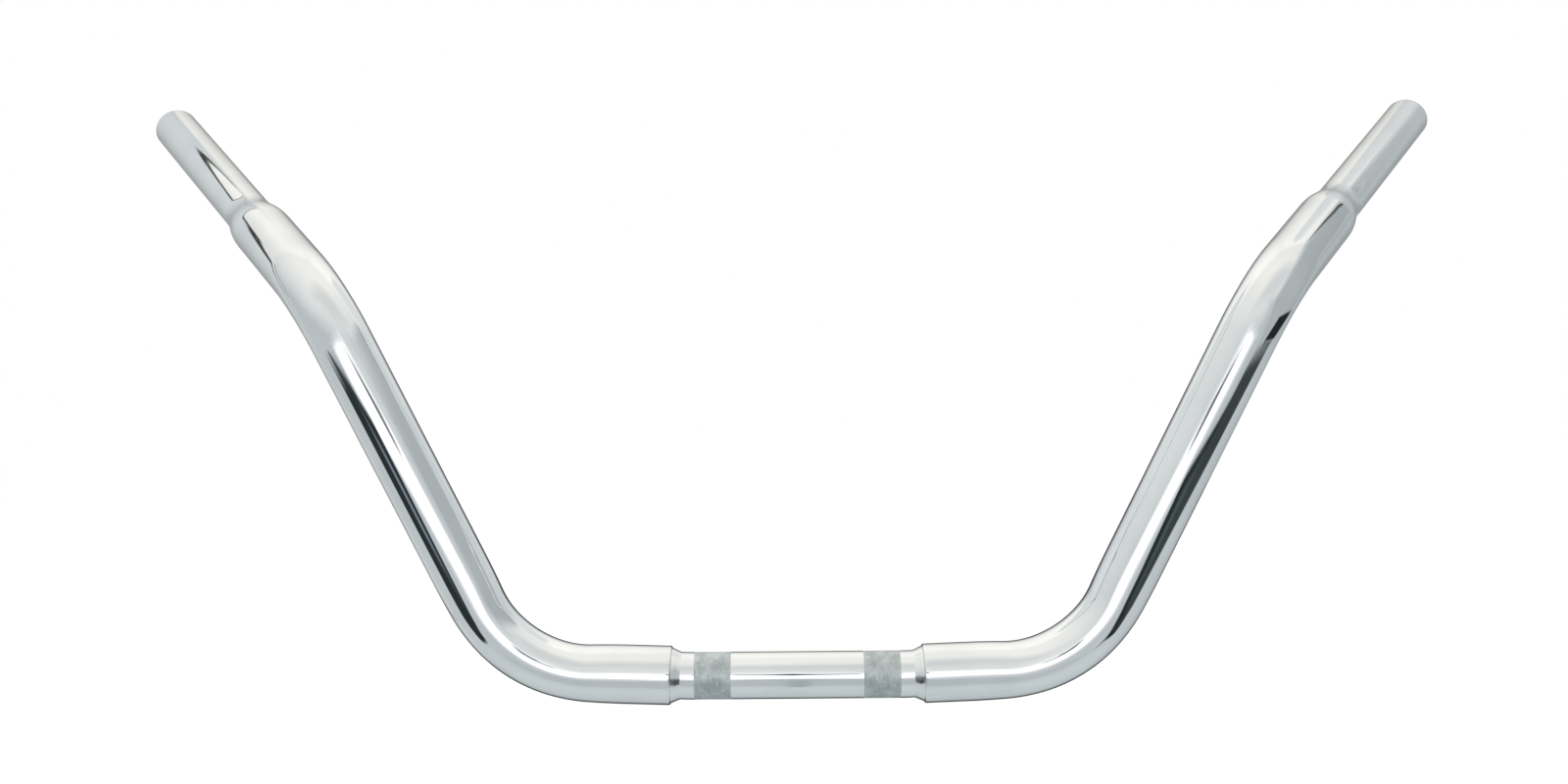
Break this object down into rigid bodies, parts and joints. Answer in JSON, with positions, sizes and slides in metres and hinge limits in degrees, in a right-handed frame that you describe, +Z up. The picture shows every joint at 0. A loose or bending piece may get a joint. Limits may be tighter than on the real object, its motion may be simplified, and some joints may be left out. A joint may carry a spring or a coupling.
{
  "type": "motorcycle handlebar",
  "caption": "Chromed steel motorcycle handlebar: thick bent arms rise from a slimmer knurled clamp tube, sweep back and neck down to bare grip tubes.",
  "frame": {"origin": "middle of the clamp tube, on its axis, halfway between the risers", "axes": "+X along the clamp tube towards the rider's left hand, +Y back towards the rider, +Z up, with the arms upright as such bars are dimensioned"},
  "size_m": [0.7876, 0.1866, 0.332],
  "materials": {
    "chrome": "mirror-polished chrome plating on steel tube, left matt where the clamp tube is knurled",
    "weld": "dressed weld bead under chrome plating, slightly softer than the tubes"
  },
  "bodies": {
    "root": {"clamp_tube": "chrome", "left_arm_tube": "chrome", "left_grip_tube": "chrome", "left_clamp_weld": "weld", "left_grip_weld": "weld", "right_arm_tube": "chrome", "right_grip_tube": "chrome", "right_clamp_weld": "weld", "right_grip_weld": "weld"}
  },
  "joints": []
}
